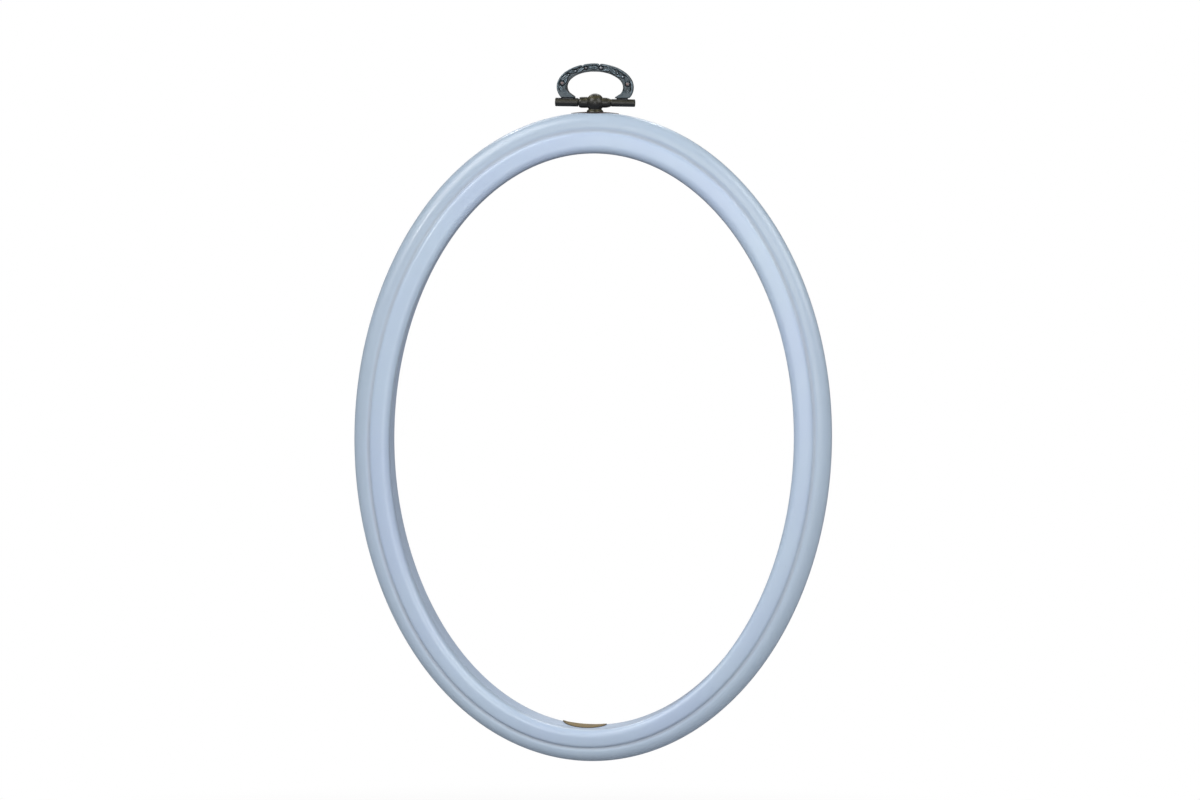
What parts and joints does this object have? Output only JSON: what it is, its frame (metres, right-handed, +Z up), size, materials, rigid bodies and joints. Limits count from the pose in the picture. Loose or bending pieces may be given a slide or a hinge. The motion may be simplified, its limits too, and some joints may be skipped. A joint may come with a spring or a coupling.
{
  "type": "embroidery hoop",
  "caption": "Oval embroidery hoop: a grooved moulded outer ring, a stiff inner ring pushed in from the back, and a swinging cast loop on a ball foot for hanging.",
  "frame": {"origin": "the inside top of the hanging loop, where a nail carries the hoop", "axes": "+Z up along the long axis of the oval, -Y out of the front of the hoop, +X to the right seen from the front"},
  "size_m": [0.15, 0.008, 0.2173],
  "materials": {
    "ring_plastic": "glossy soft vinyl, pale blue white",
    "wall_plastic": "satin stiff plastic, pale grey",
    "aged_brass": "antiqued dark brass, worn on the high spots",
    "aged_pewter": "antiqued casting, blue grey with dark hollows",
    "screw_brass": "plain turned brass",
    "gold_foil": "matt gold foil on paper"
  },
  "bodies": {
    "outer": {"outer_ring": "ring_plastic", "hanger_hub": "aged_brass", "hanger_saddle": "aged_brass", "fixing_screw": "screw_brass"},
    "loop": {"hanger_loop": "aged_pewter", "hinge_pin": "aged_brass"},
    "inner": {"inner_ring": "wall_plastic", "foil_label": "gold_foil"}
  },
  "joints": [
    {"name": "loop_swing", "type": "hinge", "parent": "outer", "child": "loop", "pos_m": [0, 0, -0.00955], "axis": [1, 0, 0], "range_deg": [-130, 118]},
    {"name": "inner_release", "type": "slide", "parent": "outer", "child": "inner", "axis": [0, 1, 0], "range_m": [0, 0.03]}
  ]
}
